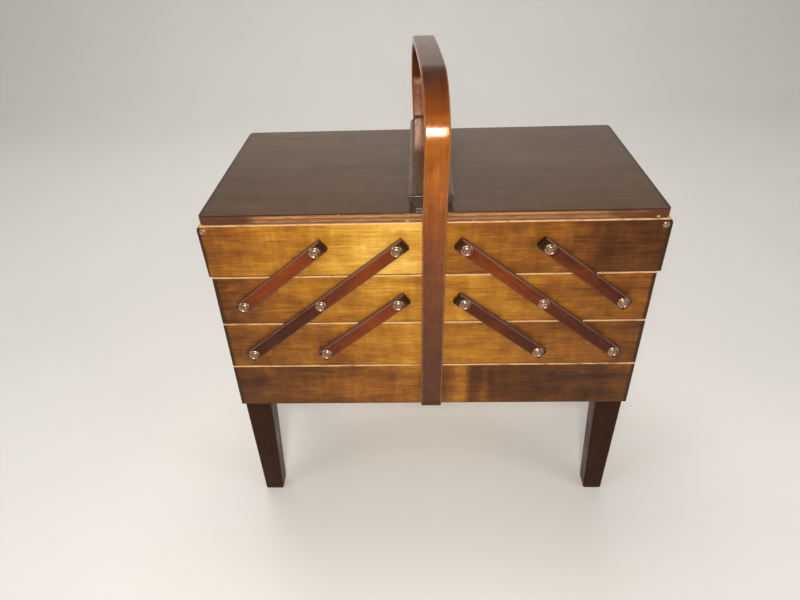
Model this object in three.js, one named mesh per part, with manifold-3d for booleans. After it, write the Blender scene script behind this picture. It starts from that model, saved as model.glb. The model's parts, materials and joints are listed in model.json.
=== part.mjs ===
// A wooden cantilever sewing box on four tapered legs, in millimetres.
// Origin: centre of the footprint on the floor. +X right, +Y to the back, +Z up.
// The base is two planks deep. On each side a middle tray and a top tray stand on it, joined to it
// by parallel arms on the front and the rear, so that they swing out level. Each top tray has a
// hinged lid with a finger grip, and a bentwood hoop over the middle carries the whole box.
import * as THREE from 'three';
import { mergeVertices } from 'three/addons/utils/BufferGeometryUtils.js';
import Module from 'manifold-3d';

const wasm = await Module();
wasm.setup();

// Driving dimensions
const HALF_WIDTH = 258.5; // half the length of the base planks
const HALF_DEPTH = 135; // to the outer faces of the front and rear boards
const LEG_LENGTH = 189; // floor to the underside of the base planks
const ROW = 68.2; // height of one row of planks
const BOARD = 10; // thickness of boards
const LID = 11; // thickness of the lid panels
const GAP = 0.3; // between pieces that touch
const SEAT = 0.5; // between a tray and what it rests on
const EDGE = 1.2; // chamfer on the edges of boards
const LID_EDGE = 0.8; // chamfer on the edges of the lid panels
const PLANK_CORNER = 2; // cut corners of the planks below the top tray
const MEETING = 0.6; // half the gap between the left and the right tray
const OVERRUN = 1; // how far a cutting solid runs past what it cuts
const SMALL_RADIUS = 3; // a corner up to this radius is cut straight
const ARC_STEPS = 4;
const ROUND_SIDES = 12;

// Pivots of the arms: an inner, a middle and an outer column, each a step lower than the last
const PIVOT_X = [39.5, 131.8, 224.1];
const PIVOT_TOP_DROP = 32; // first pivot, below the top of the top tray
const PIVOT_STEP = 73.7;
const PIN_RADIUS = 2;
const PIVOT_HOLE = 2.6;

const ARM = { width: 16, thickness: 8, upperEnd: 13, lowerEnd: 9, bevel: 1.5, corner: 2 };
const WASHER = { radius: 7, height: 1.6, sunk: 1, crest: 5.2 };
const HEAD = { radius: 4.6, height: 1.8, shoulder: 0.7 }; // the shoulder is a share of radius and height

// Each tray: the row it fills, how far its boards and its outer end board reach from the middle
const TRAYS = {
  middle_tray: { row: 2, reach: HALF_WIDTH, endFace: 257.5 },
  top_tray: { row: 3, reach: 263, endFace: 260 },
};
const TRAY_BOTTOM = { thickness: 4, lift: 3 };
const BASE_BOTTOM = { thickness: 6, lift: 3 };

// The lid turns on two pins through the top outer corners of the front and rear boards
const LID_PIN = { x: 256, drop: 8, radius: 2.5, hole: 3, intoRail: 22 };
const LID_REACH = 257.5; // the lid ends inside the ends of the boards
const RAIL = { inward: 8, outward: 4.5, below: 6.5 }; // from the pin
const END_BOARD_CLEARANCE = 11; // the outer end board stops this far below the pin
const GRIP = { top: 25, base: 17, height: 17, inset: 7, lip: 4 };

const HOOP = { width: 27, thickness: 8, rise: 139, radius: 73, foot: 4, bevel: 1.6 };

// A leg is one post: straight inside the base, tapering below it
const POST = { outer: 257.5, width: 36, depth: 30 };
const LEG_FOOT = { outer: 255.5, width: 26, depth: 25 };

const BOX_TOP = LEG_LENGTH + 4 * ROW;
const LID_TOP = BOX_TOP + SEAT / 2 + LID;
const PIN_Z = BOX_TOP - LID_PIN.drop;
const FACE = HALF_DEPTH + GAP; // the arms and the hoop lie on this plane
const INSIDE = HALF_DEPTH - BOARD;
const FULL_TURN = 2 * Math.PI;

const COLOURS = {
  board: [0xa8661f, 0.35, 0],
  end: [0x9a5c20, 0.4, 0],
  bottom: [0xc79a5a, 0.6, 0],
  lid: [0x4a2a18, 0.25, 0],
  grip: [0x5a3018, 0.3, 0],
  arm: [0x4e1a0e, 0.25, 0],
  leg: [0x2a150c, 0.35, 0],
  hoop: [0x6b3212, 0.25, 0],
  pin: [0xb9a08a, 0.3, 1],
};

const model = new THREE.Group();

function add(name, geometry, colour) {
  const [color, roughness, metalness] = COLOURS[colour];
  const material = new THREE.MeshStandardMaterial({ color, roughness, metalness });
  const mesh = new THREE.Mesh(geometry, material);
  mesh.name = name;
  model.add(mesh);
}

// Solids: to the boolean library and back

function solid(geometry) {
  const bare = geometry.clone();
  bare.deleteAttribute('normal');
  bare.deleteAttribute('uv');
  const merged = mergeVertices(bare, 1e-4);
  const vertProperties = new Float32Array(merged.attributes.position.array);
  const triVerts = new Uint32Array(merged.index.array);
  return new wasm.Manifold(new wasm.Mesh({ numProp: 3, vertProperties, triVerts }));
}

function toGeometry(manifold) {
  const { vertProperties, triVerts } = manifold.getMesh();
  const geometry = new THREE.BufferGeometry();
  geometry.setAttribute('position', new THREE.BufferAttribute(vertProperties, 3));
  geometry.setIndex(new THREE.BufferAttribute(triVerts, 1));
  geometry.computeVertexNormals();
  return geometry;
}

// Outlines and extrusions

// Turns a quarter of a circle about (x, z); a small radius is one straight cut
function corner(shape, x, z, radius, from) {
  const to = from + Math.PI / 2;
  if (radius > SMALL_RADIUS) shape.absarc(x, z, radius, from, to, false);
  else if (radius > 0) shape.lineTo(x + radius * Math.cos(to), z + radius * Math.sin(to));
}

// A rectangle whose corners have their own radii: [low left, low right, high right, high left]
function roundedRectangle(x0, z0, x1, z1, radii = [0, 0, 0, 0]) {
  const [a, b, c, d] = radii;
  const shape = new THREE.Shape();
  shape.moveTo(x0 + a, z0);
  shape.lineTo(x1 - b, z0);
  corner(shape, x1 - b, z0 + b, b, -Math.PI / 2);
  shape.lineTo(x1, z1 - c);
  corner(shape, x1 - c, z1 - c, c, 0);
  shape.lineTo(x0 + d, z1);
  corner(shape, x0 + d, z1 - d, d, Math.PI / 2);
  shape.lineTo(x0, z0 + a);
  corner(shape, x0 + a, z0 + a, a, Math.PI);
  return shape;
}

function polygon(points) {
  return new THREE.Shape(points.map(([x, y]) => new THREE.Vector2(x, y)));
}

function punch(shape, x, z, radius) {
  const hole = new THREE.Path();
  hole.absarc(x, z, radius, 0, FULL_TURN, true);
  shape.holes.push(hole);
}

function extrude(shape, depth, bevel) {
  return new THREE.ExtrudeGeometry(shape, {
    depth: depth - 2 * bevel,
    bevelEnabled: bevel > 0,
    bevelThickness: bevel,
    bevelSize: bevel,
    bevelOffset: -bevel,
    bevelSegments: 1,
    curveSegments: ARC_STEPS,
  }).translate(0, 0, bevel);
}

// An outline in X and Z, carried from y0 to y1
function alongY(shape, y0, y1, bevel = 0) {
  return extrude(shape, y1 - y0, bevel).rotateX(Math.PI / 2).translate(0, y1, 0);
}

// An outline in X and Y, carried from z0 to z1
function alongZ(shape, z0, z1, bevel = 0) {
  return extrude(shape, z1 - z0, bevel).translate(0, 0, z0);
}

// An outline in Y and Z, carried from x0 to x1
function alongX(shape, x0, x1, bevel = 0) {
  const upright = extrude(shape, x1 - x0, bevel).rotateX(Math.PI / 2);
  return upright.rotateZ(Math.PI / 2).translate(x0, 0, 0);
}

function mirroredX(geometry) {
  const flipped = geometry.index ? geometry.toNonIndexed() : geometry.clone();
  const position = flipped.attributes.position;
  for (let i = 0; i < position.count; i += 3) {
    const [a, b, c] = [0, 1, 2].map((k) => new THREE.Vector3().fromBufferAttribute(position, i + k));
    [a, c, b].forEach((v, k) => position.setXYZ(i + k, -v.x, v.y, v.z));
  }
  flipped.computeVertexNormals();
  return flipped;
}

// Everything on one side is drawn for the right and mirrored for the left
function addSide(side, name, geometry, colour) {
  const placed = side === 'left' ? mirroredX(geometry) : geometry;
  add(`${side}_${name}`, placed, colour);
}

const rowBottom = (row) => LEG_LENGTH + row * ROW;
const pivotZ = (column) => BOX_TOP - PIVOT_TOP_DROP - column * PIVOT_STEP;

// Faces: the front board of something lies at negative Y, the rear board at positive Y
const FACES = { front: -1, rear: 1 };

function faceBoard(shape, face) {
  const [near, far] = face === 'front' ? [-HALF_DEPTH, -INSIDE] : [INSIDE, HALF_DEPTH];
  return alongY(shape, near, far, EDGE);
}

// The base

function basePlank(row, face) {
  const low = rowBottom(row) + SEAT / 2;
  const high = rowBottom(row + 1) - SEAT / 2;
  const shape = roundedRectangle(-HALF_WIDTH, low, HALF_WIDTH, high, [0, 0, PLANK_CORNER, PLANK_CORNER]);
  if (row === 1) {
    for (const x of [PIVOT_X[1], PIVOT_X[2]]) {
      punch(shape, x, pivotZ(2), PIVOT_HOLE);
      punch(shape, -x, pivotZ(2), PIVOT_HOLE);
    }
  }
  return faceBoard(shape, face);
}

function buildBase() {
  for (const face of Object.keys(FACES)) {
    add(`base_${face}_lower_plank`, basePlank(0, face), 'board');
    add(`base_${face}_upper_plank`, basePlank(1, face), 'board');
  }
  const endHalf = INSIDE - POST.depth - 2 * GAP;
  const bottomZ = LEG_LENGTH + BASE_BOTTOM.lift;
  for (const side of ['left', 'right']) {
    const outline = roundedRectangle(-endHalf, LEG_LENGTH + SEAT, endHalf, rowBottom(2) - SEAT);
    addSide(side, 'base_end', alongX(outline, POST.outer - BOARD, POST.outer, EDGE), 'end');
  }
  const longX = POST.outer - BOARD - GAP;
  const shortX = POST.outer - POST.width - GAP;
  const quarter = [[longX, endHalf], [shortX, endHalf], [shortX, INSIDE - GAP]];
  const outline = [
    ...quarter,
    ...quarter.map(([x, y]) => [-x, y]).reverse(),
    ...quarter.map(([x, y]) => [-x, -y]),
    ...quarter.map(([x, y]) => [x, -y]).reverse(),
  ];
  add('base_bottom', alongZ(polygon(outline), bottomZ, bottomZ + BASE_BOTTOM.thickness), 'bottom');
}

function legGeometry(face) {
  const top = rowBottom(2) - SEAT;
  const inner = POST.outer - POST.width;
  const footInner = LEG_FOOT.outer - LEG_FOOT.width;
  const frontView = polygon([
    [footInner, 0], [LEG_FOOT.outer, 0], [POST.outer, LEG_LENGTH],
    [POST.outer, top], [inner, top], [inner, LEG_LENGTH],
  ]);
  const out = INSIDE - GAP;
  const sideView = polygon([
    [out - LEG_FOOT.depth, 0], [out, 0], [out, top],
    [out - POST.depth, top], [out - POST.depth, LEG_LENGTH],
  ]);
  const tapersInX = solid(alongY(frontView, 0, HALF_DEPTH));
  const tapersInY = solid(alongX(sideView, 0, 2 * HALF_WIDTH));
  const rear = toGeometry(tapersInX.intersect(tapersInY));
  return face === 'rear' ? rear : mirroredX(rear).rotateZ(Math.PI);
}

function buildLegs() {
  for (const face of Object.keys(FACES)) {
    for (const side of ['left', 'right']) {
      addSide(side, `${face}_leg`, legGeometry(face), 'leg');
    }
  }
}

// The hoop: one bent strip, fixed to the front and the rear of the base

function buildHoop() {
  const { thickness, rise, radius, foot, width, bevel } = HOOP;
  const outer = FACE + thickness;
  const low = LEG_LENGTH + foot;
  const top = LID_TOP + rise;
  const centreY = outer - radius;
  const centreZ = top - radius;
  const shape = new THREE.Shape();
  shape.moveTo(outer, low);
  shape.absarc(centreY, centreZ, radius, 0, Math.PI / 2, false);
  shape.absarc(-centreY, centreZ, radius, Math.PI / 2, Math.PI, false);
  shape.lineTo(-outer, low);
  shape.lineTo(-FACE, low);
  shape.absarc(-centreY, centreZ, radius - thickness, Math.PI, Math.PI / 2, true);
  shape.absarc(centreY, centreZ, radius - thickness, Math.PI / 2, 0, true);
  shape.lineTo(FACE, low);
  add('hoop', alongX(shape, -width / 2, width / 2, bevel), 'hoop');
}

// A tray: front and rear boards, an end at each side and a bottom panel

function trayBoard({ row, reach }, face) {
  const top = row === 3;
  const low = rowBottom(row) + SEAT / 2;
  const high = rowBottom(row + 1) - SEAT / 2;
  const shoulder = top ? reach - LID_PIN.x : PLANK_CORNER;
  const shape = roundedRectangle(MEETING, low, reach, high, [0, 0, shoulder, 0]);
  const pivots = top ? [PIVOT_X[0], PIVOT_X[1]] : PIVOT_X;
  pivots.forEach((x) => punch(shape, x, pivotZ(3 - row), PIVOT_HOLE));
  if (top) punch(shape, LID_PIN.x, PIN_Z, LID_PIN.hole);
  return faceBoard(shape, face);
}

function trayEnd(row, x0, x1, high) {
  const half = INSIDE - GAP;
  const outline = roundedRectangle(-half, rowBottom(row) + SEAT / 2, half, high);
  return alongX(outline, x0, x1, EDGE);
}

function buildTray(side, name) {
  const { row, endFace } = TRAYS[name];
  for (const face of Object.keys(FACES)) {
    addSide(side, `${name}_${face}`, trayBoard(TRAYS[name], face), 'board');
  }
  const fullHigh = rowBottom(row + 1) - SEAT / 2;
  const outerHigh = row === 3 ? PIN_Z - END_BOARD_CLEARANCE : fullHigh;
  addSide(side, `${name}_outer_end`, trayEnd(row, endFace - BOARD, endFace, outerHigh), 'end');
  addSide(side, `${name}_inner_end`, trayEnd(row, MEETING, MEETING + BOARD, fullHigh), 'end');
  const half = INSIDE - GAP;
  const low = rowBottom(row) + TRAY_BOTTOM.lift;
  const panel = roundedRectangle(MEETING + BOARD + GAP, -half, endFace - BOARD - GAP, half);
  addSide(side, `${name}_bottom`, alongZ(panel, low, low + TRAY_BOTTOM.thickness), 'bottom');
}

// A lid: the panel, the rail under its outer end, two hinge pins and the finger grip

function railGeometry() {
  const half = INSIDE - 2 * GAP;
  const outline = roundedRectangle(
    LID_PIN.x - RAIL.inward, PIN_Z - RAIL.below, LID_PIN.x + RAIL.outward, BOX_TOP + SEAT / 2 - GAP,
  );
  const bar = solid(alongY(outline, -half, half));
  const bore = new THREE.Shape();
  bore.absarc(LID_PIN.x, PIN_Z, LID_PIN.hole, 0, FULL_TURN, false);
  const depth = LID_PIN.intoRail + GAP;
  const holes = Object.values(FACES).map((sign) => {
    const ends = [sign * (half + OVERRUN), sign * (half - depth)];
    return solid(alongY(bore, Math.min(...ends), Math.max(...ends)));
  });
  return toGeometry(bar.subtract(holes[0]).subtract(holes[1]));
}

function gripGeometry() {
  const { top, base, height, inset, lip } = GRIP;
  const low = LID_TOP + GAP;
  const high = low + height;
  const shape = new THREE.Shape();
  shape.moveTo(MEETING, low);
  shape.lineTo(base, low);
  shape.quadraticCurveTo(base + 1, high - 2 * lip, top, high - lip);
  shape.lineTo(top, high - lip / 2);
  shape.absarc(top - lip / 2, high - lip / 2, lip / 2, 0, Math.PI / 2, false);
  shape.lineTo(MEETING, high);
  return alongY(shape, inset - HALF_DEPTH, HALF_DEPTH - inset);
}

function buildLid(side) {
  const bottom = BOX_TOP + SEAT / 2;
  const panel = roundedRectangle(MEETING, bottom, LID_REACH, LID_TOP, [0, 2, 4, 0]);
  const half = HALF_DEPTH - 2 * GAP;
  addSide(side, 'lid_panel', alongY(panel, -half, half, LID_EDGE), 'lid');
  addSide(side, 'lid_rail', railGeometry(), 'lid');
  addSide(side, 'lid_grip', gripGeometry(), 'grip');
  for (const [face, sign] of Object.entries(FACES)) {
    const length = BOARD + LID_PIN.intoRail;
    const pin = new THREE.CylinderGeometry(LID_PIN.radius, LID_PIN.radius, length, ROUND_SIDES);
    pin.translate(LID_PIN.x, sign * (HALF_DEPTH - length / 2), PIN_Z);
    addSide(side, `lid_${face}_pin`, pin, 'pin');
  }
}

// Arms: a flat bar with its pivot screws, from an upper pivot down and out to a lower one

function screwGeometry(x, z) {
  const tip = INSIDE + GAP - FACE;
  const seat = ARM.thickness - WASHER.sunk;
  const washerOut = ARM.thickness + WASHER.height;
  const shoulder = [HEAD.radius * HEAD.shoulder, washerOut + HEAD.height * HEAD.shoulder];
  const profile = [
    [0, tip], [PIN_RADIUS, tip], [PIN_RADIUS, seat], [WASHER.radius, seat],
    [WASHER.radius, ARM.thickness], [WASHER.crest, washerOut], [HEAD.radius, washerOut],
    shoulder, [0, washerOut + HEAD.height],
  ].map(([r, y]) => new THREE.Vector2(r, y));
  return new THREE.LatheGeometry(profile, ROUND_SIDES).translate(x, FACE, z);
}

function armGeometry(columns, topRow) {
  const [first, last] = [columns[0], columns[columns.length - 1]];
  const steps = last - first;
  const start = new THREE.Vector2(PIVOT_X[first], pivotZ(topRow));
  const end = new THREE.Vector2(PIVOT_X[last], pivotZ(topRow + steps));
  const angle = Math.atan2(end.y - start.y, end.x - start.x);
  const length = start.distanceTo(end) + ARM.lowerEnd;
  const corners = Array(4).fill(ARM.corner);
  const bar = roundedRectangle(-ARM.upperEnd, -ARM.width / 2, length, ARM.width / 2, corners);
  const flat = extrude(bar, ARM.thickness, ARM.bevel).rotateZ(angle).translate(start.x, start.y, 0);
  const placed = flat.rotateX(Math.PI / 2).translate(0, FACE + ARM.thickness, 0);
  let body = solid(placed);
  columns.forEach((column, i) => {
    body = body.add(solid(screwGeometry(PIVOT_X[column], pivotZ(topRow + i))));
  });
  return toGeometry(body);
}

const ARMS = {
  upper_arm: { columns: [1, 2], topRow: 0 },
  long_arm: { columns: [0, 1, 2], topRow: 0 },
  lower_arm: { columns: [0, 1], topRow: 1 },
};

function buildArms(side) {
  for (const [name, { columns, topRow }] of Object.entries(ARMS)) {
    const rear = armGeometry(columns, topRow);
    const front = mirroredX(rear).rotateZ(Math.PI);
    addSide(side, `rear_${name}`, rear, 'arm');
    addSide(side, `front_${name}`, front, 'arm');
  }
}

buildBase();
buildLegs();
buildHoop();
for (const side of ['left', 'right']) {
  Object.keys(TRAYS).forEach((name) => buildTray(side, name));
  buildLid(side);
  buildArms(side);
}

export default model;
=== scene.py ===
"""The looks of a wooden cantilever sewing box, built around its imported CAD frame. Units are metres.

Every wooden piece is made in its own frame, u along the grain, v across it and w through the thickness,
and keeps those coordinates as the attribute "local". The wood materials read them, so that the grain
follows each piece, bends with the hoop and moves with the trays.
"""
import json
import math
import random

import bpy
import numpy as np
from mathutils import Matrix, Vector


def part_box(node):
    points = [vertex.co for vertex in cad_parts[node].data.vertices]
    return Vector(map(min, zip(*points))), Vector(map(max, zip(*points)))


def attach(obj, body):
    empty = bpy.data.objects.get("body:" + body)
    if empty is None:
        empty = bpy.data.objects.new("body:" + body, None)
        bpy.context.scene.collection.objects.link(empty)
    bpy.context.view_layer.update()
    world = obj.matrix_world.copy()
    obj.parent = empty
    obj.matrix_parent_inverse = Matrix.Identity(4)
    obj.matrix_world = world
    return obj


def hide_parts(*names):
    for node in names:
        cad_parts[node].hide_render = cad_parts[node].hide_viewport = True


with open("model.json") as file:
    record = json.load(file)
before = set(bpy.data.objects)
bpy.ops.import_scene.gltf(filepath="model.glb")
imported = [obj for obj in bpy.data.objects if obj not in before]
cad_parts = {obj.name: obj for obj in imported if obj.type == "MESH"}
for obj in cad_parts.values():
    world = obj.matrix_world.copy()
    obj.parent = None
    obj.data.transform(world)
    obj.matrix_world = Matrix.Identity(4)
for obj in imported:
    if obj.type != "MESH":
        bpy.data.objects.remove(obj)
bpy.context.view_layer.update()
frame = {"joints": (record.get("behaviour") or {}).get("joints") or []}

SIDES = {"left": -1, "right": 1}
FACES = {"front": -1, "rear": 1}
X, Y, Z = Vector((1, 0, 0)), Vector((0, 1, 0)), Vector((0, 0, 1))
JOINTS = {joint["name"]: joint for joint in frame["joints"]}
rng = random.Random(11)


# ---------------------------------------------------------------- node graphs

class Graph:
    """A material's node tree, with one short method for each kind of node that the finishes use."""

    def __init__(self, name):
        self.material = bpy.data.materials.new(name)
        self.material.use_nodes = True
        self.tree = self.material.node_tree
        self.shader = self.tree.nodes["Principled BSDF"]

    def make(self, kind, inputs, **settings):
        node = self.tree.nodes.new(kind)
        for key, value in settings.items():
            setattr(node, key, value)
        for key, value in inputs.items():
            self.put(node.inputs[key], value)
        return node

    def put(self, socket, value):
        if isinstance(value, bpy.types.NodeSocket):
            self.tree.links.new(value, socket)
        elif isinstance(value, tuple) and socket.type == "RGBA":
            socket.default_value = (*value, 1.0)
        else:
            socket.default_value = value

    def attribute(self, name):
        return self.make("ShaderNodeAttribute", {}, attribute_name=name).outputs["Vector"]

    def axes(self, vector):
        node = self.make("ShaderNodeSeparateXYZ", {"Vector": vector})
        return node.outputs["X"], node.outputs["Y"], node.outputs["Z"]

    def math(self, operation, a, b=0.0, clamp=False):
        return self.make("ShaderNodeMath", {0: a, 1: b}, operation=operation, use_clamp=clamp).outputs[0]

    def vector(self, operation, a, b):
        return self.make("ShaderNodeVectorMath", {0: a, 1: b}, operation=operation).outputs[0]

    def noise(self, place, per_metre, detail=3.0, rough=0.55, distortion=0.0):
        """Noise with so many cells to a metre along each axis."""
        vector = self.vector("MULTIPLY", place, per_metre)
        inputs = {"Vector": vector, "Scale": 1.0, "Detail": detail, "Roughness": rough,
                  "Distortion": distortion}
        return self.make("ShaderNodeTexNoise", inputs).outputs["Fac"]

    def swing(self, value, amount):
        """A noise value turned into a swing about zero."""
        return self.math("MULTIPLY", self.math("SUBTRACT", value, 0.5), amount)

    def span(self, value, low, high, to_low=0.0, to_high=1.0):
        inputs = {"Value": value, "From Min": low, "From Max": high, "To Min": to_low, "To Max": to_high}
        return self.make("ShaderNodeMapRange", inputs, interpolation_type="SMOOTHSTEP").outputs["Result"]

    def ramp(self, value, stops):
        node = self.make("ShaderNodeValToRGB", {"Fac": value})
        elements = node.color_ramp.elements
        while len(elements) < len(stops):
            elements.new(0.5)
        for element, (place, colour) in zip(elements, stops):
            element.position = place
            element.color = (*colour, 1.0)
        return node.outputs["Color"]

    def mix(self, amount, first, second):
        node = self.make("ShaderNodeMix", {}, data_type="RGBA")
        self.put(node.inputs[0], amount)
        self.put(node.inputs[6], first)
        self.put(node.inputs[7], second)
        return node.outputs[2]

    def finish(self, colour, roughness, height, distance, **constants):
        bump = self.make("ShaderNodeBump", {"Height": height, "Distance": distance})
        self.put(self.shader.inputs["Base Color"], colour)
        self.put(self.shader.inputs["Roughness"], roughness)
        self.put(self.shader.inputs["Normal"], bump.outputs["Normal"])
        for key, value in constants.items():
            self.put(self.shader.inputs[key.replace("_", " ")], value)
        return self.material


# How each kind of noise moves a piece's level: (cells to a metre along u, v and w), detail, swing
WOOD_NOISE = (
    ((4, 42, 42), 3.0, 0.42),
    ((24, 330, 330), 4.0, 0.36),
    ((45, 800, 800), 4.0, 0.42),
    ((26, 34, 34), 4.0, 0.50),
    ((130, 26, 26), 2.0, 0.22),
)
FIBRES, FINE_FIBRES = 1, 2
# From where to where each effect fades out, as distances from a piece's end or edge. The ends are painted
# darker as shade, the arrises paler as worn varnish and as a painted highlight, and the low edge darker as
# painted shade.
END_SHADE = (0.0015, 0.0064)
HIGH_RUB_AND_HIGHLIGHT = (0.0009, 0.0018)
LOW_RUB_AND_HIGHLIGHT = (0.0009, 0.0022)
LOW_SHADOW = (0.0006, 0.0024)
FOOT_RUB = (0.0015, 0.0050)
END_SHADE_DEPTH, LOW_SHADOW_DEPTH, FLECK_DEPTH = 0.42, 0.9, 0.35
WOOD_BUMP, COAT_ROUGHNESS = 0.00016, 0.06


def grain(g, placed, swing):
    """The piece's own level moved by every noise, and the height of the fibres."""
    value, _, _ = g.axes(g.attribute("level"))
    noises = [g.noise(placed, cells, detail, 0.58, 0.3) for cells, detail, _ in WOOD_NOISE]
    for noise, (_, _, amount) in zip(noises, WOOD_NOISE):
        value = g.math("ADD", value, g.swing(noise, amount * swing))
    fibres = g.math("MULTIPLY", noises[FIBRES], 0.6)
    fine_fibres = g.math("MULTIPLY", noises[FINE_FIBRES], 0.4)
    return value, g.math("ADD", fibres, fine_fibres)


def rub_and_highlight_share(g, placed, rubs_and_highlights):
    """How far the arrises are paled, as worn varnish and as a painted highlight, each given as (distance,
    where it fades out, how much).
    """
    rubbed_and_highlit = 0.0
    for distance, fade, wear_and_highlight in rubs_and_highlights:
        rubbed_and_highlit = g.math("MAXIMUM", rubbed_and_highlit, g.span(distance, *fade, wear_and_highlight, 0.0))
    patches = g.noise(placed, (60, 300, 300), 3.0, 0.6)
    return g.math("MULTIPLY", rubbed_and_highlit, g.span(patches, 0.30, 0.55, 0.35, 1.0))


def wood(name, stops, edge, rough=(0.26, 0.42), specular=0.4, tint=(1.0, 1.0, 1.0), coat=0.0, swing=1.0,
         wear_and_highlight=1.0, low_wear_and_highlight=0.0, foot_wear=0.0):
    """Varnished wood: bands, fibres and blotches about the level that a piece has at each point.

    The ramp runs from the darkest stain at 0 to the palest wood at 1. Both ends are painted darker, as
    shade.
    The arris at the high v edge is painted pale, as worn varnish and as a painted highlight. The one at the
    low v edge is painted dark, as shade in the gap under it, or paled in the same way if an amount is given
    for it.
    foot_wear pales the end at low u, as worn varnish.
    """
    g = Graph(name)
    local = g.attribute("local")
    placed = g.vector("ADD", local, g.attribute("seed"))
    u, v, _ = g.axes(local)
    half_u, half_v, _ = g.axes(g.attribute("half"))
    value, height = grain(g, placed, swing)
    from_end = g.math("SUBTRACT", half_u, g.math("ABSOLUTE", u))
    # Painted shade: darker towards both ends.
    value = g.math("SUBTRACT", value, g.span(from_end, *END_SHADE, END_SHADE_DEPTH, 0.0), clamp=True)
    colour = g.ramp(value, stops)
    darkest = stops[0][1]
    flecks = g.noise(placed, (60, 620, 620), 2.0, 0.5)
    colour = g.mix(g.span(flecks, 0.62, 0.74, 0.0, FLECK_DEPTH), colour, darkest)
    from_low = g.math("ADD", half_v, v)
    # The high arris paled as worn varnish and as a painted highlight.
    rubs_and_highlights = [(g.math("SUBTRACT", half_v, v), HIGH_RUB_AND_HIGHLIGHT, wear_and_highlight)]
    # The low arris paled the same way, or else darkened as painted shade in the gap under it.
    if low_wear_and_highlight:
        rubs_and_highlights.append((from_low, LOW_RUB_AND_HIGHLIGHT, low_wear_and_highlight))
    else:
        colour = g.mix(g.span(from_low, *LOW_SHADOW, LOW_SHADOW_DEPTH, 0.0), colour, darkest)
    if foot_wear:
        rubs_and_highlights.append((g.math("ADD", half_u, u), FOOT_RUB, foot_wear))
    colour = g.mix(rub_and_highlight_share(g, placed, rubs_and_highlights), colour, edge)
    smear = g.noise(placed, (14, 60, 60), 3.0, 0.6)
    return g.finish(colour, g.span(smear, 0.3, 0.7, *rough), height, WOOD_BUMP, Specular_Tint=tint,
                    Specular_IOR_Level=specular, Coat_Weight=coat, Coat_Roughness=COAT_ROUGHNESS)


PLY_WAVER = 0.0016
BARE_CHIP = (0.62, 0.42, 0.24)


def plywood_edge(name, layers, thickness, stain):
    """The edge of a plywood panel: layers across w, stained where the piece's second level is low."""
    g = Graph(name)
    local = g.attribute("local")
    placed = g.vector("ADD", local, g.attribute("seed"))
    _, _, w = g.axes(local)
    _, bare, _ = g.axes(g.attribute("level"))
    waver = g.swing(g.noise(placed, (30, 30, 200)), PLY_WAVER)
    place = g.math("ADD", g.math("DIVIDE", g.math("ADD", w, waver), thickness), 0.5)
    fibres = g.noise(placed, (70, 70, 900), 4.0, 0.6)
    colour = g.mix(g.span(fibres, 0.40, 0.70, 0.0, 0.6), g.ramp(place, layers), stain)
    bare = g.math("ADD", bare, g.swing(g.noise(placed, (22, 22, 60), 3.0, 0.6), 1.0))
    colour = g.mix(g.span(bare, 0.15, 0.75, 0.95, 0.0), colour, stain)
    chips = g.noise(placed, (120, 120, 160), 2.0, 0.5)
    colour = g.mix(g.span(chips, 0.70, 0.74, 0.0, 0.8), colour, BARE_CHIP)
    return g.finish(colour, g.span(fibres, 0.3, 0.7, 0.35, 0.6), fibres, 0.0003,
                    Specular_Tint=(1.0, 0.7, 0.5), Specular_IOR_Level=0.35)


def metal(name, colour, tarnish, rough):
    """Plated metal, a little tarnished and scuffed."""
    g = Graph(name)
    place = g.attribute("local")
    cloud = g.noise(place, (260, 260, 260), 4.0, 0.6)
    scuff = g.noise(place, (900, 900, 900), 2.0, 0.5)
    tint = g.mix(g.span(cloud, 0.38, 0.68), colour, tarnish)
    return g.finish(tint, g.span(scuff, 0.3, 0.7, *rough), scuff, 0.00005, Metallic=1.0)


# Tints of the varnish's reflections
GOLDEN = (1.0, 0.72, 0.42)
REDDISH = (1.0, 0.46, 0.26)
BROWNISH = (1.0, 0.9, 0.8)
# Each wood's colours from its darkest stain at 0 to its palest at 1
BOARD_STOPS = (
    (0.0, (0.030, 0.008, 0.0025)), (0.2, (0.095, 0.026, 0.0045)), (0.4, (0.215, 0.070, 0.007)),
    (0.6, (0.37, 0.150, 0.012)), (0.8, (0.56, 0.285, 0.035)), (1.0, (0.74, 0.45, 0.10)),
)
PLY_STOPS = ((0.0, (0.16, 0.08, 0.035)), (0.3, (0.36, 0.21, 0.10)), (0.6, (0.54, 0.36, 0.19)),
             (1.0, (0.70, 0.52, 0.32)))
LID_STOPS = ((0.0, (0.016, 0.007, 0.003)), (0.3, (0.042, 0.018, 0.007)), (0.6, (0.078, 0.036, 0.014)),
             (1.0, (0.14, 0.068, 0.028)))
GRIP_STOPS = ((0.0, (0.016, 0.007, 0.004)), (0.3, (0.050, 0.024, 0.012)), (0.6, (0.105, 0.058, 0.030)),
              (1.0, (0.19, 0.11, 0.06)))
ARM_STOPS = ((0.0, (0.010, 0.003, 0.002)), (0.3, (0.050, 0.009, 0.003)), (0.6, (0.160, 0.027, 0.004)),
             (1.0, (0.30, 0.068, 0.008)))
LEG_STOPS = ((0.0, (0.006, 0.002, 0.001)), (0.3, (0.014, 0.005, 0.002)), (0.6, (0.028, 0.010, 0.004)),
             (1.0, (0.055, 0.022, 0.010)))
HOOP_STOPS = ((0.0, (0.018, 0.005, 0.002)), (0.25, (0.070, 0.016, 0.004)), (0.5, (0.175, 0.042, 0.005)),
              (0.75, (0.33, 0.100, 0.009)), (1.0, (0.50, 0.20, 0.022)))
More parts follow.
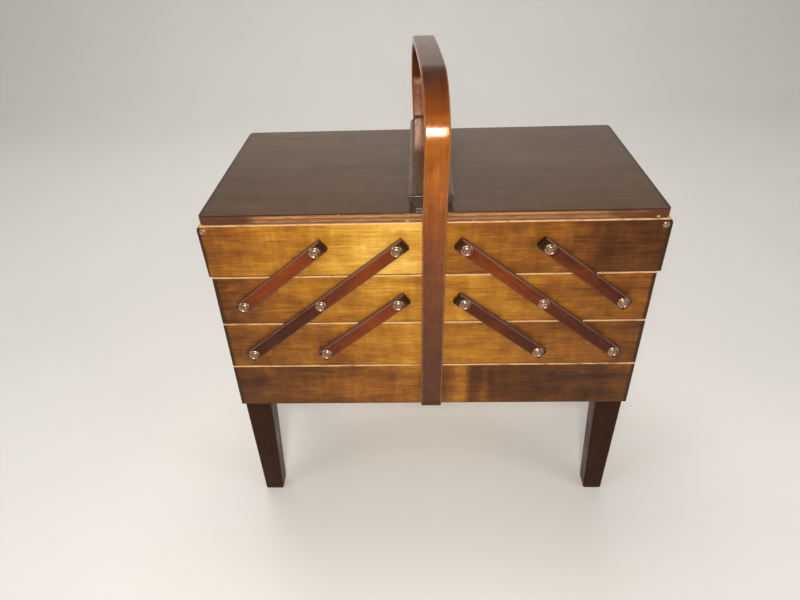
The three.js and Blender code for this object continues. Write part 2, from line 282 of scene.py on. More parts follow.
# What wood() is told for each material slot of wood. Each edge colour paints the arrises pale, as worn
# varnish and in part as a painted highlight.
WOODS = {
    "board_wood": {"stops": BOARD_STOPS, "edge": (0.66, 0.38, 0.17), "tint": GOLDEN},
    "end_wood": {"stops": BOARD_STOPS, "edge": (0.45, 0.24, 0.08), "tint": GOLDEN, "wear_and_highlight": 0.5},
    "bottom_plywood": {"stops": PLY_STOPS, "edge": (0.60, 0.40, 0.22), "rough": (0.45, 0.6),
                       "specular": 0.3, "swing": 0.5, "wear_and_highlight": 0.0},
    "lid_wood": {"stops": LID_STOPS, "edge": (0.15, 0.06, 0.025), "rough": (0.14, 0.26),
                 "specular": 0.5, "tint": BROWNISH, "coat": 0.25, "wear_and_highlight": 0.5},
    "grip_wood": {"stops": GRIP_STOPS, "edge": (0.20, 0.09, 0.045), "rough": (0.18, 0.32),
                  "specular": 0.5, "tint": BROWNISH, "coat": 0.4, "swing": 0.35, "wear_and_highlight": 0.5,
                  "low_wear_and_highlight": 0.3},
    "arm_wood": {"stops": ARM_STOPS, "edge": (0.13, 0.085, 0.070), "rough": (0.14, 0.24),
                 "specular": 0.45, "tint": REDDISH, "swing": 0.9, "wear_and_highlight": 0.8, "low_wear_and_highlight": 0.5},
    "leg_wood": {"stops": LEG_STOPS, "edge": (0.10, 0.055, 0.03), "rough": (0.25, 0.4),
                 "specular": 0.15, "tint": REDDISH, "wear_and_highlight": 0.4, "low_wear_and_highlight": 0.4, "foot_wear": 0.9},
    "hoop_wood": {"stops": HOOP_STOPS, "edge": (0.34, 0.14, 0.045), "rough": (0.12, 0.2),
                  "specular": 0.6, "tint": REDDISH, "coat": 0.3, "swing": 0.8, "wear_and_highlight": 0.8,
                  "low_wear_and_highlight": 0.5},
}
FINISHES = {name: wood(name, **how) for name, how in WOODS.items()}
FINISHES["hinge_pin_metal"] = metal("hinge_pin_metal", (0.42, 0.33, 0.25), (0.20, 0.14, 0.09), (0.34, 0.5))
# The colours through the lid's plywood, from its lower face at 0 to its upper face at 1
LID_LAYERS = (
    (0.0, (0.14, 0.05, 0.02)), (0.14, (0.20, 0.08, 0.04)), (0.24, (0.30, 0.15, 0.08)),
    (0.44, (0.27, 0.12, 0.06)), (0.52, (0.16, 0.06, 0.03)), (0.60, (0.21, 0.09, 0.035)),
    (0.66, (0.46, 0.22, 0.06)), (0.84, (0.38, 0.16, 0.04)), (0.92, (0.07, 0.025, 0.012)),
)
LID_THICKNESS = 0.011
LID_EDGE = plywood_edge("lid_plywood_edge", LID_LAYERS, LID_THICKNESS, (0.075, 0.022, 0.011))
SCREW_METAL = metal("screw_metal", (0.50, 0.32, 0.22), (0.17, 0.08, 0.045), (0.22, 0.38))


# ---------------------------------------------------------------- meshes

def strip_cap(start, count):
    """A flat cap over a ring of count points, as slices that pair the ring's two halves."""
    pairs = range(count // 2 - 1)
    return [(start + i, start + i + 1, start + count - 2 - i, start + count - 1 - i) for i in pairs]


def whole_cap(start, count):
    """A flat cap over a ring of count points, as one face."""
    return [tuple(range(start, start + count))]


def ring_sides(rings, count):
    """Quads that join rings of count points one after another."""
    faces = []
    for r in range(rings - 1):
        for i in range(count):
            j = (i + 1) % count
            faces.append((r * count + i, r * count + j, (r + 1) * count + j, (r + 1) * count + i))
    return faces


def ring_faces(rings, count, cap=strip_cap):
    """The sides of a stack of rings, with a cap at each end."""
    return ring_sides(rings, count) + flipped(cap(0, count)) + cap((rings - 1) * count, count)


def flipped(faces):
    """The same faces, turned to look the other way."""
    return [tuple(reversed(face)) for face in faces]


def add(name, data):
    """A new object of the scene that holds this data."""
    thing = bpy.data.objects.new(name, data)
    bpy.context.scene.collection.objects.link(thing)
    return thing


def vector_attribute(mesh, key, values):
    """Keeps three numbers with each point of a mesh, for the node graphs to read."""
    layer = mesh.attributes.new(key, "FLOAT_VECTOR", "POINT")
    layer.data.foreach_set("vector", np.array([tuple(v) for v in values], np.float32).ravel())


SHARP_ANGLE = math.radians(50)


def piece(name, points, local, half, faces, body, slot, replaces=(), level=0.5, material=None):
    """One piece from points in the frame, with what the finishes read kept as attributes.

    level is a number, or a function of a local point. It may give two numbers: the wood's level, and
    how bare of stain the plywood edge is.
    """
    mesh = bpy.data.meshes.new(name)
    mesh.from_pydata([tuple(p) for p in points], [], faces)
    count = len(points)
    seed = (rng.uniform(0, 9), rng.uniform(0, 9), rng.uniform(0, 9))
    levels = [level(p) if callable(level) else level for p in local]
    levels = [(*n, 0) if isinstance(n, tuple) else (n, n, 0) for n in levels]
    vector_attribute(mesh, "local", local)
    vector_attribute(mesh, "half", [half] * count)
    vector_attribute(mesh, "seed", [seed] * count)
    vector_attribute(mesh, "level", levels)
    mesh.validate()
    mesh.shade_smooth()
    mesh.set_sharp_from_angle(angle=SHARP_ANGLE)
    mesh.materials.append(material or FINISHES[slot])
    thing = add(name, mesh)
    normals = thing.modifiers.new("even_normals", "WEIGHTED_NORMAL")
    normals.keep_sharp = True
    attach(thing, body)
    if replaces:
        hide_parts(*replaces)
    return thing


CORNER_STEPS = 5
SMALLEST_RADIUS = 0.0002


def outline(half_u, half_v, radii, inset=0.0, steps=CORNER_STEPS, slices=1):
    """A rectangle with round corners, anticlockwise; radii are for (-u-v), (+u-v), (+u+v) and (-u+v).

    The two long edges are cut into the same number of slices, so that strip_cap can pair them.
    """
    hu, hv = half_u - inset, half_v - inset
    corners = ((-1, -1, 180), (1, -1, 270), (1, 1, 0), (-1, 1, 90))
    arcs = []
    for (su, sv, start), radius in zip(corners, radii):
        r = max(radius - inset, SMALLEST_RADIUS)
        angles = [math.radians(start + 90 * k / steps) for k in range(steps + 1)]
        arcs.append([(su * (hu - r) + r * math.cos(a), sv * (hv - r) + r * math.sin(a)) for a in angles])

    low = between(arcs[0][-1], arcs[1][0], slices)
    high = between(arcs[2][-1], arcs[3][0], slices)
    return arcs[0] + low + arcs[1] + arcs[2] + high + arcs[3]


def between(a, b, slices):
    """The points that cut the line from a to b into slices."""
    across, up = b[0] - a[0], b[1] - a[1]
    return [(a[0] + across * k / slices, a[1] + up * k / slices) for k in range(1, slices)]


def rounded_rims(half_w, radius, steps=3):
    """Heights and insets that round over a slab's two rims, each by a quarter of a circle."""
    quarter = [math.radians(90 * k / steps) for k in range(steps + 1)]
    low = [(-half_w + radius * (1 - math.sin(a)), radius * (1 - math.cos(a))) for a in reversed(quarter)]
    return low + [(-w, inset) for w, inset in reversed(low)]


def slab_points(half, radii, rims, slices):
    """The outline at each rim's height and inset, one ring after another."""
    rings = [outline(half[0], half[1], radii, inset, slices=slices) for _, inset in rims]
    return [(u, v, w) for (w, _), ring in zip(rims, rings) for u, v in ring]


def slab(name, box, u, v, body, slot, rim=0.0012, radii=None, replaces=(), level=0.5, slices=1, flare=None):
    """A board in the space of a CAD node's box, its grain along u and its width along v.

    flare is (which end along u, how far the board's low edge stands back there).
    """
    low, high = box
    w = u.cross(v)
    centre, size = (low + high) / 2, high - low
    half = tuple(abs(size.dot(axis)) / 2 for axis in (u, v, w))
    rims = rounded_rims(half[2], rim)
    local = slab_points(half, radii or (rim,) * 4, rims, slices)
    if flare:
        local = [flared(p, half, *flare) for p in local]
    points = [centre + u * a + v * b + w * c for a, b, c in local]
    faces = ring_faces(len(rims), len(local) // len(rims))
    return piece(name, points, local, half, faces, body, slot, replaces, level)


def flared(p, half, end, back):
    """A local point moved so that the board's end slopes in towards its low edge."""
    a, b, c = p
    near_end = max(0.0, end * a / half[0])
    return a - end * back * near_end * (1 - b / half[1]) / 2, b, c


def along(half_u, *stops):
    """A level that changes along u: stops are (share of the half length, level)."""
    shares, levels = zip(*stops)

    def level(p):
        return float(np.interp(p[0] / half_u, shares, levels))
    return level


def reach(node):
    """How far a node's box reaches from the middle in each direction, whichever side it is on."""
    low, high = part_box(node)
    return Vector([max(abs(a), abs(b)) for a, b in zip(low, high)])


# ---------------------------------------------------------------- boards and panels

BOARD_RIM = 0.0013
BOARD_SLICES = 60
# How the level changes along each front board, from its left end at -1 to its right end at 1. The paler
# stretches near the middle, by the strap, are a painted golden sheen of light; the rest is the boards' own
# tone.
FRONT_TONE_AND_SHEEN = {
    "base_front_upper_plank": ((-1, 0.31), (-0.55, 0.38), (-0.1, 0.62), (0.1, 0.55), (0.5, 0.36),
                               (1, 0.24)),
    "base_front_lower_plank": ((-1, 0.14), (-0.55, 0.25), (-0.1, 0.45), (0.08, 0.24), (0.12, 0.50),
                               (0.17, 0.52), (0.20, 0.14), (0.235, 0.16), (0.25, 0.48), (0.28, 0.14),
                               (0.8, 0.11), (1, 0.20)),
    "left_middle_tray_front": ((-1, 0.12), (-0.8, 0.28), (-0.2, 0.50), (1, 0.64)),
    "right_middle_tray_front": ((-1, 0.62), (-0.4, 0.55), (0, 0.48), (0.5, 0.36), (1, 0.30)),
    "left_top_tray_front": ((-1, 0.30), (-0.6, 0.46), (0, 0.63), (0.6, 0.86), (1, 0.78)),
    "right_top_tray_front": ((-1, 0.55), (-0.6, 0.35), (-0.1, 0.31), (0.1, 0.42), (0.2, 0.24),
                             (0.5, 0.11), (1, 0.10)),
}
PLAIN_LEVELS = ((-1, 0.40), (0, 0.52), (1, 0.40))
END_LEVEL = 0.46
# The top trays' face boards: the radius of the upper outer corner, and how far that end stands back
# at the bottom on each side
SHOULDER = 0.0068
TOP_ROW_FLARE = {"left": 0.0018, "right": 0.0006}


def face_board(node, body, shoulder=0.0, flare=0.0):
    """A front or rear board; its outer end may have a round shoulder and slope in towards the bottom."""
    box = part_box(node)
    middle = (box[0] + box[1]) / 2
    side = 1 if middle.x > 0 else -1
    face = 1 if middle.y > 0 else -1
    radii = [BOARD_RIM] * 4
    outer_end = -side * face
    if shoulder:
        radii[2 if outer_end > 0 else 3] = shoulder
    half_u = (box[1] - box[0]).x / 2
    level = along(half_u, *FRONT_TONE_AND_SHEEN.get(node, PLAIN_LEVELS))
    slab(node + "_board", box, X * -face, Z, body, "board_wood", BOARD_RIM, radii, [node], level,
         BOARD_SLICES, (outer_end, flare) if flare else None)


def end_board(node, body):
    """A board across the box's depth, its grain along Y."""
    slab(node + "_board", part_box(node), Y, Z, body, "end_wood", replaces=[node], level=END_LEVEL)


LEG_GAP = 0.0003
PANEL_RIM = 0.0004


def build_base():
    """Two planks at the front and two at the rear, the end boards and the bottom."""
    for face in FACES:
        face_board(f"base_{face}_upper_plank", "base")
        face_board(f"base_{face}_lower_plank", "base")
    for side in SIDES:
        end_board(f"{side}_base_end", "base")
    build_base_bottom()


def build_base_bottom():
    """The bottom panel, notched at the corners for the legs."""
    node = "base_bottom"
    low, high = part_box(node)
    cut_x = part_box("right_rear_leg")[0].x - LEG_GAP
    cut_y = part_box("right_base_end")[1].y
    quarter = [(high.x, cut_y), (cut_x, cut_y), (cut_x, high.y)]
    loop = quarter + [(-x, y) for x, y in reversed(quarter)]
    loop += [(-x, -y) for x, y in quarter] + [(x, -y) for x, y in reversed(quarter)]
    middle = (low + high) / 2
    half = tuple((high - low) / 2)
    local = [(x, y, w) for w in (-half[2], half[2]) for x, y in loop]
    points = [middle + Vector(p) for p in local]
    faces = ring_faces(2, len(loop), whole_cap)
    piece(node + "_panel", points, local, half, faces, "base", "bottom_plywood", [node])


def build_tray(side, tray):
    """A tray's four boards and its bottom. The top trays' corners are shouldered and flared."""
    body = f"{side}_{tray}"
    for face in FACES:
        if tray == "top_tray":
            face_board(f"{body}_{face}", body, SHOULDER, TOP_ROW_FLARE[side])
        else:
            face_board(f"{body}_{face}", body)
    end_board(f"{body}_outer_end", body)
    end_board(f"{body}_inner_end", body)
    node = f"{body}_bottom"
    slab(node + "_panel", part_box(node), X, Y, body, "bottom_plywood", PANEL_RIM, replaces=[node])


# ---------------------------------------------------------------- legs

FOOT = Vector((0.026, 0.025))
FOOT_OUTSET = 0.002
LEG_ARRIS = 0.0018
# Heights over the floor, and how much the foot is worn back there
FOOT_ARRIS = ((0.0, 0.0012), (0.0008, 0.0004), (0.003, 0.0))
TAPER_STEPS = 4
LEG_LEVELS = ((-1, 0.62), (-0.3, 0.45), (1, 0.55))


def build_leg(side, face):
    """A post inside the base that tapers to its foot below it, with softened edges and a foot worn pale."""
    node = f"{side}_{face}_leg"
    sx, sy = SIDES[side], FACES[face]
    low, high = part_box(node)
    size = high - low
    base_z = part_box("base_front_lower_plank")[0].z
    outer_x, outer_y = reach(node).x, reach(node).y
    taper = [(base_z * k / TAPER_STEPS, 0.0) for k in range(1, TAPER_STEPS + 1)]
    stations = list(FOOT_ARRIS) + taper + [(high.z, 0.0)]
    local, points = [], []
    for z, worn in stations:
        share = min(z / base_z, 1.0)
        face_x = outer_x - FOOT_OUTSET * (1 - share)
        width = FOOT.x + (size.x - FOOT.x) * share
        depth = FOOT.y + (size.y - FOOT.y) * share
        for a, b in outline(width / 2 - worn, depth / 2 - worn, (LEG_ARRIS,) * 4, steps=3):
            local.append((z - high.z / 2, a, b))
            points.append(Vector((sx * (face_x - width / 2 + a), sy * (outer_y - depth / 2 + b), z)))
    faces = ring_faces(len(stations), len(points) // len(stations))
    if sx * sy < 0:
        faces = flipped(faces)
    half = (high.z / 2, size.x / 2, size.y / 2)
    level = along(half[0], *LEG_LEVELS)
    piece(node + "_post", points, local, half, faces, "base", "leg_wood", [node], level)


# ---------------------------------------------------------------- the hoop

HOOP_THICKNESS = 0.008
HOOP_RADIUS = 0.077
# The middle of the top stands a crown higher than its ends, and a lift higher than the CAD's
HOOP_CROWN, HOOP_LIFT = 0.0015, 0.0015
HOOP_ARRIS = 0.0022
# The strip's middle in X at its feet, and from the bend up, where it also turns by a slope along Y
HOOP_FOOT_X = -0.0012
HOOP_OFFSET = -0.0021
HOOP_SLOPE = 0.047
STRAP_STATIONS, BEND_STATIONS, TOP_STATIONS = 26, 18, 6
# How the level changes along the strip, from its front foot at -1 to its rear foot at 1
HOOP_LEVELS = ((-1, 0.08), (-0.86, 0.15), (-0.62, 0.34), (-0.48, 0.50), (-0.33, 0.66), (-0.27, 0.58),
               (-0.23, 0.38), (-0.19, 0.18), (-0.14, 0.14), (0, 0.16), (0.2, 0.30), (0.5, 0.50), (1, 0.30))
# How far the strip bows to the right along its length, as an old bent handle does
HOOP_BOW = ((-0.47, 0.0), (-0.37, 0.0010), (-0.30, 0.0023), (-0.13, 0.0020), (0.13, 0.0002), (0.3, 0.0))


def hoop_path(out_y, low, top):
    """Points and outward directions in Y and Z along the middle of the strip, from front to rear."""
    middle = out_y - HOOP_THICKNESS / 2
    radius = HOOP_RADIUS - HOOP_THICKNESS / 2
    turn_y, turn_z = middle - radius, top - HOOP_CROWN - HOOP_RADIUS
    path = [(-middle, z, -1.0, 0.0) for z in np.linspace(low, turn_z, STRAP_STATIONS)[:-1]]
    for k in range(BEND_STATIONS):
        a = math.pi - math.pi / 2 * k / (BEND_STATIONS - 1)
        y, z = math.cos(a), math.sin(a)
        path.append((-turn_y + radius * y, turn_z + radius * z, y, z))
    for k in range(1, TOP_STATIONS):
        y = -turn_y * (1 - k / TOP_STATIONS)
        path.append((y, turn_z + radius + HOOP_CROWN * (1 - (y / turn_y) ** 2), 0.0, 1.0))
    rear = [(-y, z, -ny, nz) for y, z, ny, nz in reversed(path)]
    return path + [(0.0, turn_z + radius + HOOP_CROWN, 0.0, 1.0)] + rear


def build_hoop():
    """The bent handle: one strip with rounded edges, turned a little about the upright axis by use."""
    node = "hoop"
    low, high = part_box(node)
    width = high.x - low.x
    path = hoop_path(high.y, low.z, high.z + HOOP_LIFT)
    steps = [0.0] + [math.dist(a[:2], b[:2]) for a, b in zip(path, path[1:])]
    travelled = np.cumsum(steps)
    half = (float(travelled[-1]) / 2, width / 2, HOOP_THICKNESS / 2)
    bow = along(half[0], *HOOP_BOW)
    bend_z = high.z - HOOP_RADIUS
    ring = outline(half[1], half[2], (HOOP_ARRIS,) * 4, steps=3)
    local, points = [], []
    for (y, z, ny, nz), distance in zip(path, travelled):
        rise = min((z - low.z) / (bend_z - low.z), 1.0)
        settled = HOOP_OFFSET - HOOP_SLOPE * y
        u = float(distance) - half[0]
        centre_x = HOOP_FOOT_X + (settled - HOOP_FOOT_X) * rise + bow((u, 0, 0))
        for a, b in ring:
            local.append((u, a, b))
            points.append(Vector((centre_x + a, y + ny * b, z + nz * b)))
    faces = flipped(ring_faces(len(path), len(ring)))
    level = along(half[0], *HOOP_LEVELS)
    piece("hoop_strip", points, local, half, faces, "base", "hoop_wood", [node], level)


# ---------------------------------------------------------------- lids

LID_RIM = 0.0012
LID_SLICES = 24
# How bare of stain the plywood's edge is at each X, from the box's left end to its right end
LID_BARE = ((-0.260, 0.05), (-0.205, 0.18), (-0.190, 0.80), (0.06, 0.85), (0.16, 0.6), (0.215, 0.35),
            (0.25, 0.0))
LID_LEVEL = 0.5
LID_OVERHANG = 0.0013
LID_OUTER_CORNER, LID_INNER_CORNER = 0.0065, 0.0015
# A face of the panel counts as its edge when its normal's height is below this
EDGE_NORMAL = 0.6
RAIL_RIM = 0.001


def build_lid(side):
    """A plywood panel with its layers showing at the edge, the rail under it, the grip and the pins."""
    body = f"{side}_lid"
    node = f"{side}_lid_panel"
    low, high = (corner.copy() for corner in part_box(node))
    if side == "right":
        high.x += LID_OVERHANG
        radii = (LID_INNER_CORNER, LID_OUTER_CORNER, LID_OUTER_CORNER, LID_INNER_CORNER)
    else:
        low.x -= LID_OVERHANG
        radii = (LID_OUTER_CORNER, LID_INNER_CORNER, LID_INNER_CORNER, LID_OUTER_CORNER)
    centre_x = (low + high).x / 2
    places, bareness = zip(*LID_BARE)

    def level(p):
        return LID_LEVEL, float(np.interp(p[0] + centre_x, places, bareness))

    panel = slab(node + "_plywood", (low, high), X, Y, body, "lid_wood", LID_RIM, radii, [node], level,
                 LID_SLICES)
    panel.data.materials.append(LID_EDGE)
    for face in panel.data.polygons:
        if abs(face.normal.z) < EDGE_NORMAL:
            face.material_index = 1
    node = f"{side}_lid_rail"
    slab(node + "_batten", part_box(node), Y, Z, body, "lid_wood", RAIL_RIM, replaces=[node])
    build_grip(side)
    build_lid_pins(side)


GRIP_BASE = 0.017
GRIP_LIP = 0.0045
GRIP_ROUND, GRIP_ROUND_STEPS = 0.0022, 4
UNDERCUT_STEPS, UNDERCUT_POWER = 7, 2.2
GROOVE_HALF_WIDTH, GROOVE_DEPTH, GROOVE_FROM_EDGE, GROOVE_TAPER = 0.0009, 0.0015, 0.0058, 0.6
GRIP_MEETING = 0.0006
GRIP_ARRIS = 0.0008
GRIP_REAR_CORNER, GRIP_REAR_STEPS = 0.011, 8
# Distances from the front end, and how much the bar is rounded back there
GRIP_END_ARRIS = ((0.0, 0.0010), (0.0004, 0.0003), (0.0012, 0.0))


def grip_section(width, height):
    """The grip's section as (distance from the middle of the box, height above the lid), anticlockwise."""
    lip_z = height - GRIP_LIP
    section = [(GRIP_MEETING, 0.0), (GRIP_BASE, 0.0)]
    for k in range(1, UNDERCUT_STEPS + 1):
        out = (k / UNDERCUT_STEPS) ** UNDERCUT_POWER
        section.append((GRIP_BASE + (width - GRIP_BASE) * out, lip_z * k / UNDERCUT_STEPS))
    for k in range(GRIP_ROUND_STEPS + 1):
        a = math.radians(90 * k / GRIP_ROUND_STEPS)
        section.append((width - GRIP_ROUND * (1 - math.cos(a)), height - GRIP_ROUND * (1 - math.sin(a))))
    groove, floor_z = width - GROOVE_FROM_EDGE, height - GROOVE_DEPTH
    floor_half = GROOVE_HALF_WIDTH * GROOVE_TAPER
    section += [(groove + GROOVE_HALF_WIDTH, height), (groove + floor_half, floor_z),
                (groove - floor_half, floor_z), (groove - GROOVE_HALF_WIDTH, height)]
    return section + [(GRIP_MEETING + GRIP_ARRIS, height), (GRIP_MEETING, height - GRIP_ARRIS)]


def build_grip(side):
    """The finger grip: a bar along the lid's inner edge, undercut outside, grooved on top."""
    node = f"{side}_lid_grip"
    low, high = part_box(node)
    sign = SIDES[side]
    width, height = reach(node).x, high.z - low.z
    section = grip_section(width, height)
    stations = [(low.y + step, 0.0, arris) for step, arris in GRIP_END_ARRIS]
    for k in range(GRIP_REAR_STEPS + 1):
        a = math.radians(90 * k / GRIP_REAR_STEPS)
        y = high.y - GRIP_REAR_CORNER * (1 - math.sin(a))
        stations.append((y, GRIP_REAR_CORNER * (1 - math.cos(a)), 0.0))
    local, points = [], []
    for y, pull, arris in stations:
        for x, z in section:
            x = min(x, width - pull - arris)
            z = max(min(z, height - arris), arris * 0.5)
            local.append((y, x - width / 2, z - height / 2))
            points.append(Vector((sign * x, y, low.z + z)))
    faces = ring_faces(len(stations), len(section), whole_cap)
    if sign > 0:
        faces = flipped(faces)
    half = (high.y, width / 2, height / 2)
    piece(node + "_bar", points, local, half, faces, f"{side}_lid", "grip_wood", [node])


# ---------------------------------------------------------------- turned metal

TURNED_SIDES = 28


def turned(name, profile, at, turn, body, material, hollow=False, replaces=()):
    """A metal piece turned from a profile of (radius, height), its axis along the third axis of turn.

    A hollow one is a ring: its profile closes on itself and it has no caps.
    """
    angles = [2 * math.pi * k / TURNED_SIDES for k in range(TURNED_SIDES)]
    local = [Vector((r * math.cos(a), r * math.sin(a), h)) for r, h in profile for a in angles]
    if hollow:
        sides = ring_sides(len(profile) + 1, TURNED_SIDES)
        faces = [tuple(i % len(local) for i in face) for face in sides]
    else:
        faces = ring_faces(len(profile), TURNED_SIDES, whole_cap)
    points = [at + turn @ p for p in local]
    return piece(name, points, local, (1, 1, 1), faces, body, "hinge_pin_metal", replaces,
                 material=material)


def facing(outward, spin=0.0):
    """A turn that puts the third axis on the outward direction, after a spin about it."""
    return outward.to_track_quat("Z", "Y").to_matrix() @ Matrix.Rotation(spin, 3, "Z")


# The head's profile as (radius, height over the board), and the shank's tip and neck
PIN_HEAD = ((0.0036, -0.0004), (0.0037, 0.0001), (0.0031, 0.0006), (0.0024, 0.0006), (0.0021, 0.0003),
            (0.0010, 0.0004), (0.0003, 0.0005))
PIN_POINT, PIN_TIP_SHARE, PIN_TIP_LENGTH, PIN_NECK = 0.0004, 0.8, 0.001, 0.0006


def build_lid_pins(side):
    """Hinge pins: a long shank with a low dished head set into the face of the board."""
    for face, sign in FACES.items():
        node = f"{side}_lid_{face}_pin"
        low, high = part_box(node)
        length = high.y - low.y
        shank = (high.x - low.x) / 2
        middle = (low + high) / 2
        at = Vector((middle.x, sign * reach(node).y, middle.z))
        profile = ((PIN_POINT, -length), (shank * PIN_TIP_SHARE, -length),
                   (shank, -length + PIN_TIP_LENGTH), (shank, -PIN_NECK)) + PIN_HEAD
        turned(node + "_nail", profile, at, facing(Y * sign), f"{side}_lid", FINISHES["hinge_pin_metal"],
               replaces=[node])


# ---------------------------------------------------------------- arms and pivot screws

ARM_WIDTH, ARM_THICKNESS = 0.016, 0.008
ARM_UPPER_END, ARM_LOWER_END = 0.013, 0.009
ARM_CORNER = 0.0020
ARM_ROUND = 0.0024
ARM_INNER_ARRIS = 0.0005
ARM_GAP = 0.0003
ARM_SLICES = 12
# Each arm's pivots from the lowest up, as (what the screw is driven into, the joint there if any)
ARM_PIVOTS = {
    "upper_arm": (("middle_tray", "upper_swing"), ("top_tray", None)),
    "long_arm": (("base", "swing"), ("middle_tray", "middle_level"), ("top_tray", "top_level")),
    "lower_arm": (("base", "lower_swing"), ("middle_tray", None)),
}
# How much paler or darker one side's arms are
SIDE_SHADE = {"right_upper_arm": -0.16, "right_lower_arm": -0.10, "right_long_arm": 0.04}
# How the level changes along each arm, from its lower end at -1 to its upper end at 1
ARM_LEVELS = {
    "upper_arm": ((-1, 0.30), (-0.6, 0.46), (0.2, 0.62), (0.7, 0.52), (0.85, 0.34), (1, 0.26)),
    "long_arm": ((-1, 0.10), (-0.7, 0.14), (-0.2, 0.24), (0.25, 0.42), (0.7, 0.50), (0.88, 0.34),
                 (1, 0.26)),
    "lower_arm": ((-1, 0.30), (-0.6, 0.42), (0.2, 0.56), (0.7, 0.50), (0.85, 0.34), (1, 0.26)),
}


def pivots(side, arm):
    """An arm's pivots from the lowest to the highest, and the body that each screw is driven into."""
    places = {key: Vector(JOINTS[f"{side}_{key}"]["pos_m"]) for key in ("middle_level", "top_level")}
    step = places["top_level"] - places["middle_level"]
    found = []
    for holder, joint in ARM_PIVOTS[arm]:
        at = Vector(JOINTS[f"{side}_{joint}"]["pos_m"]) if joint else found[-1][0] + step
        found.append((at, holder if holder == "base" else f"{side}_{holder}"))
    return found


def arm_rims(half_w):
    """Square against the boards, with only the outer rim rounded over."""
    rounded = rounded_rims(half_w, ARM_ROUND, CORNER_STEPS)
    inner = [(-half_w, ARM_INNER_ARRIS), (-half_w + ARM_INNER_ARRIS, 0.0)]
    return inner + rounded[len(rounded) // 2:]


def build_arm(side, face, arm):
    """A flat bar over its pivots on the face boards, with a screw and a cup washer at each pivot."""
    node = f"{side}_{face}_{arm}"
    body = f"{side}_{arm}s"
    outward = Y * FACES[face]
    joints = pivots(side, arm)
    foot, head = joints[0][0], joints[-1][0]
    u = (head - foot).normalized()
    v = outward.cross(u)
    if v.z < 0:
        v = -v
    start, end = -ARM_LOWER_END, (head - foot).length + ARM_UPPER_END
    half = ((end - start) / 2, ARM_WIDTH / 2, ARM_THICKNESS / 2)
    rims = arm_rims(half[2])
    local = slab_points(half, (ARM_CORNER,) * 4, rims, ARM_SLICES)
    board_y = reach(f"{side}_top_tray_{face}").y
    centre = foot + u * (start + end) / 2 + outward * (board_y + ARM_GAP + half[2])
    points = [centre + u * a + v * b + outward * c for a, b, c in local]
    faces = ring_faces(len(rims), len(local) // len(rims))
    if u.cross(v).dot(outward) < 0:
        faces = flipped(faces)
    shade = SIDE_SHADE.get(f"{side}_{arm}", 0.0)
    level = along(half[0], *[(share, value + shade) for share, value in ARM_LEVELS[arm]])
    piece(node + "_bar", points, local, half, faces, body, "arm_wood", [node], level)
    for number, (at, holder) in enumerate(joints, 1):
        place = at + outward * (board_y + ARM_GAP + ARM_THICKNESS)
        build_screw(f"{node}_{number}", place, outward, body, holder)


# Profiles as (radius, height over the arm's outer face)
CUP_WASHER = ((0.0040, -0.0006), (0.0044, -0.0012), (0.0071, 0.0), (0.0070, 0.0003), (0.0065, 0.0009),
              (0.0059, 0.0012), (0.0052, 0.0011), (0.0045, 0.0004))
SCREW = ((0.0017, -0.0150), (0.0019, -0.0145), (0.0019, -0.0014), (0.0042, -0.0001), (0.0043, 0.0004),
         (0.0038, 0.0010), (0.0028, 0.0015), (0.0015, 0.0018), (0.0003, 0.0019))
# The length, width and height of the block that cuts the driver's slot, and the slot's depth
SLOT_CUTTER = (0.0100, 0.0011, 0.0014)
SLOT_DEPTH = 0.0010


def build_screw(name, place, outward, arm_body, holder):
    """A cup washer that rides on the arm, and in it a slotted screw that rides on its holder."""
    turned(name + "_cup_washer", CUP_WASHER, place, facing(outward), arm_body, SCREW_METAL, hollow=True)
    turn = facing(outward, rng.uniform(0, math.pi))
    screw = turned(name + "_screw", SCREW, place, turn, holder, SCREW_METAL)
    cut_slot(screw, place, turn)


def cut_slot(screw, place, turn):
    """Cuts the driver's slot across a screw's head and keeps only the cut mesh."""
    half = [size / 2 for size in SLOT_CUTTER]
    lift = SCREW[-1][1] + half[2] - SLOT_DEPTH
    square = ((-1, -1), (1, -1), (1, 1), (-1, 1))
    corners = [(a * half[0], b * half[1], c * half[2] + lift) for c in (-1, 1) for a, b in square]
    mesh = bpy.data.meshes.new("slot")
    mesh.from_pydata([tuple(place + turn @ Vector(p)) for p in corners], [], ring_faces(2, 4, whole_cap))
    cutter = add("slot", mesh)
    cut = screw.modifiers.new("slot", "BOOLEAN")
    cut.object = cutter
    cut.operation = "DIFFERENCE"
    cut.solver = "EXACT"
    bpy.context.view_layer.update()
    evaluated = screw.evaluated_get(bpy.context.evaluated_depsgraph_get())
    result = bpy.data.meshes.new_from_object(evaluated)
    screw.modifiers.clear()
    screw.data = result
    bpy.data.objects.remove(cutter)


# ---------------------------------------------------------------- stage, light and camera

# PITCH is downwards, YAW to the right and ROLL clockwise
CAMERA_AT = Vector((-0.0111, -0.7414, 0.7774))
PITCH, YAW, ROLL = math.radians(34.606), math.radians(-2.523), math.radians(2.146)
LENS = 27.786


def build_camera():
    """The camera of the main view."""
    forward = Vector((math.sin(YAW) * math.cos(PITCH), math.cos(YAW) * math.cos(PITCH), -math.sin(PITCH)))
    level = Vector((math.cos(YAW), -math.sin(YAW), 0))
    down = forward.cross(level)
    right = level * math.cos(ROLL) + down * math.sin(ROLL)
    low = down * math.cos(ROLL) - level * math.sin(ROLL)
    data = bpy.data.cameras.new("camera")
    data.lens = LENS
    camera = add("camera", data)
    turn = Matrix((right, -low, -forward)).transposed().to_4x4()
    camera.matrix_world = Matrix.Translation(CAMERA_AT) @ turn
    bpy.context.scene.camera = camera


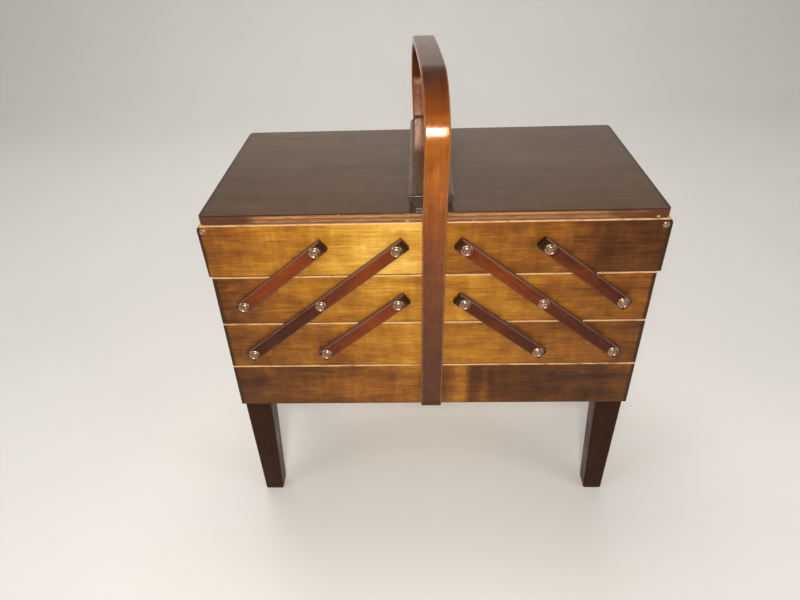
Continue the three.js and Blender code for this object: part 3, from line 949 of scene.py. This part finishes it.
def area_light(name, at, target, size, power, colour):
    """A square light that aims at a point."""
    data = bpy.data.lights.new(name, "AREA")
    data.size = size
    data.energy = power
    data.color = colour
    light = add(name, data)
    light.location = at
    light.rotation_euler = (Vector(target) - Vector(at)).to_track_quat("-Z", "Y").to_euler()
    return light


FLOOR_REACH, BACKDROP_AT, BACKDROP_BEND, BACKDROP_TOP, BACKDROP_STEPS = 6.0, 1.6, 0.8, 4.0, 12
FLOOR_COLOURS = ((0.70, 0.68, 0.65), (0.75, 0.73, 0.70))


def build_stage():
    """A pale floor that curves up into a backdrop behind the box."""
    g = Graph("pale_floor")
    place = g.make("ShaderNodeTexCoord", {}).outputs["Object"]
    cloud = g.noise(place, (3, 3, 3), 2.0)
    colour = g.mix(cloud, *FLOOR_COLOURS)
    floor_material = g.finish(colour, 0.7, cloud, 0.0001)
    section = [(-FLOOR_REACH, 0.0), (BACKDROP_AT, 0.0)]
    for k in range(1, BACKDROP_STEPS + 1):
        a = math.radians(90 * k / BACKDROP_STEPS)
        section.append((BACKDROP_AT + BACKDROP_BEND * math.sin(a), BACKDROP_BEND * (1 - math.cos(a))))
    section.append((BACKDROP_AT + BACKDROP_BEND, BACKDROP_TOP))
    points = [(x, y, z) for x in (-FLOOR_REACH, FLOOR_REACH) for y, z in section]
    n = len(section)
    mesh = bpy.data.meshes.new("floor")
    mesh.from_pydata(points, [], [(i, n + i, n + i + 1, i + 1) for i in range(n - 1)])
    mesh.shade_smooth()
    mesh.materials.append(floor_material)
    floor = add("floor", mesh)


STUDIO_COLOUR, STUDIO_STRENGTH = (1.0, 0.98, 0.95, 1.0), 0.30
# Each area light's place, the point it aims at, and its size, power and colour
LIGHTS = {
    "key": ((-0.04, -0.95, 0.93), (0, -0.1, 0.30), 0.2, 9.4, (1.0, 0.97, 0.92)),
    "overhead": ((-0.3, 1.0, 2.5), (0, 0, 0.2), 1.8, 40, (1.0, 0.98, 0.95)),
    "left": ((-1.9, -1.2, 1.3), (0, 0, 0.3), 1.0, 9, (1, 1, 1)),
    "right": ((1.9, -1.2, 1.3), (0, 0, 0.3), 1.0, 9, (1, 1, 1)),
}


def build_light():
    """A dim studio, a small key light over the camera and three soft ones. The overhead isn't mirrored."""
    bpy.context.scene.view_settings.view_transform = "Standard"
    world = bpy.data.worlds.new("studio")
    world.use_nodes = True
    background = world.node_tree.nodes["Background"]
    background.inputs["Color"].default_value = STUDIO_COLOUR
    background.inputs["Strength"].default_value = STUDIO_STRENGTH
    bpy.context.scene.world = world
    lights = {name: area_light(name, *how) for name, how in LIGHTS.items()}
    lights["overhead"].visible_glossy = False


build_camera()
build_stage()
build_light()
build_base()
build_hoop()
for side in SIDES:
    for face in FACES:
        build_leg(side, face)
        for arm in ARM_PIVOTS:
            build_arm(side, face, arm)
    for tray in ("middle_tray", "top_tray"):
        build_tray(side, tray)
    build_lid(side)
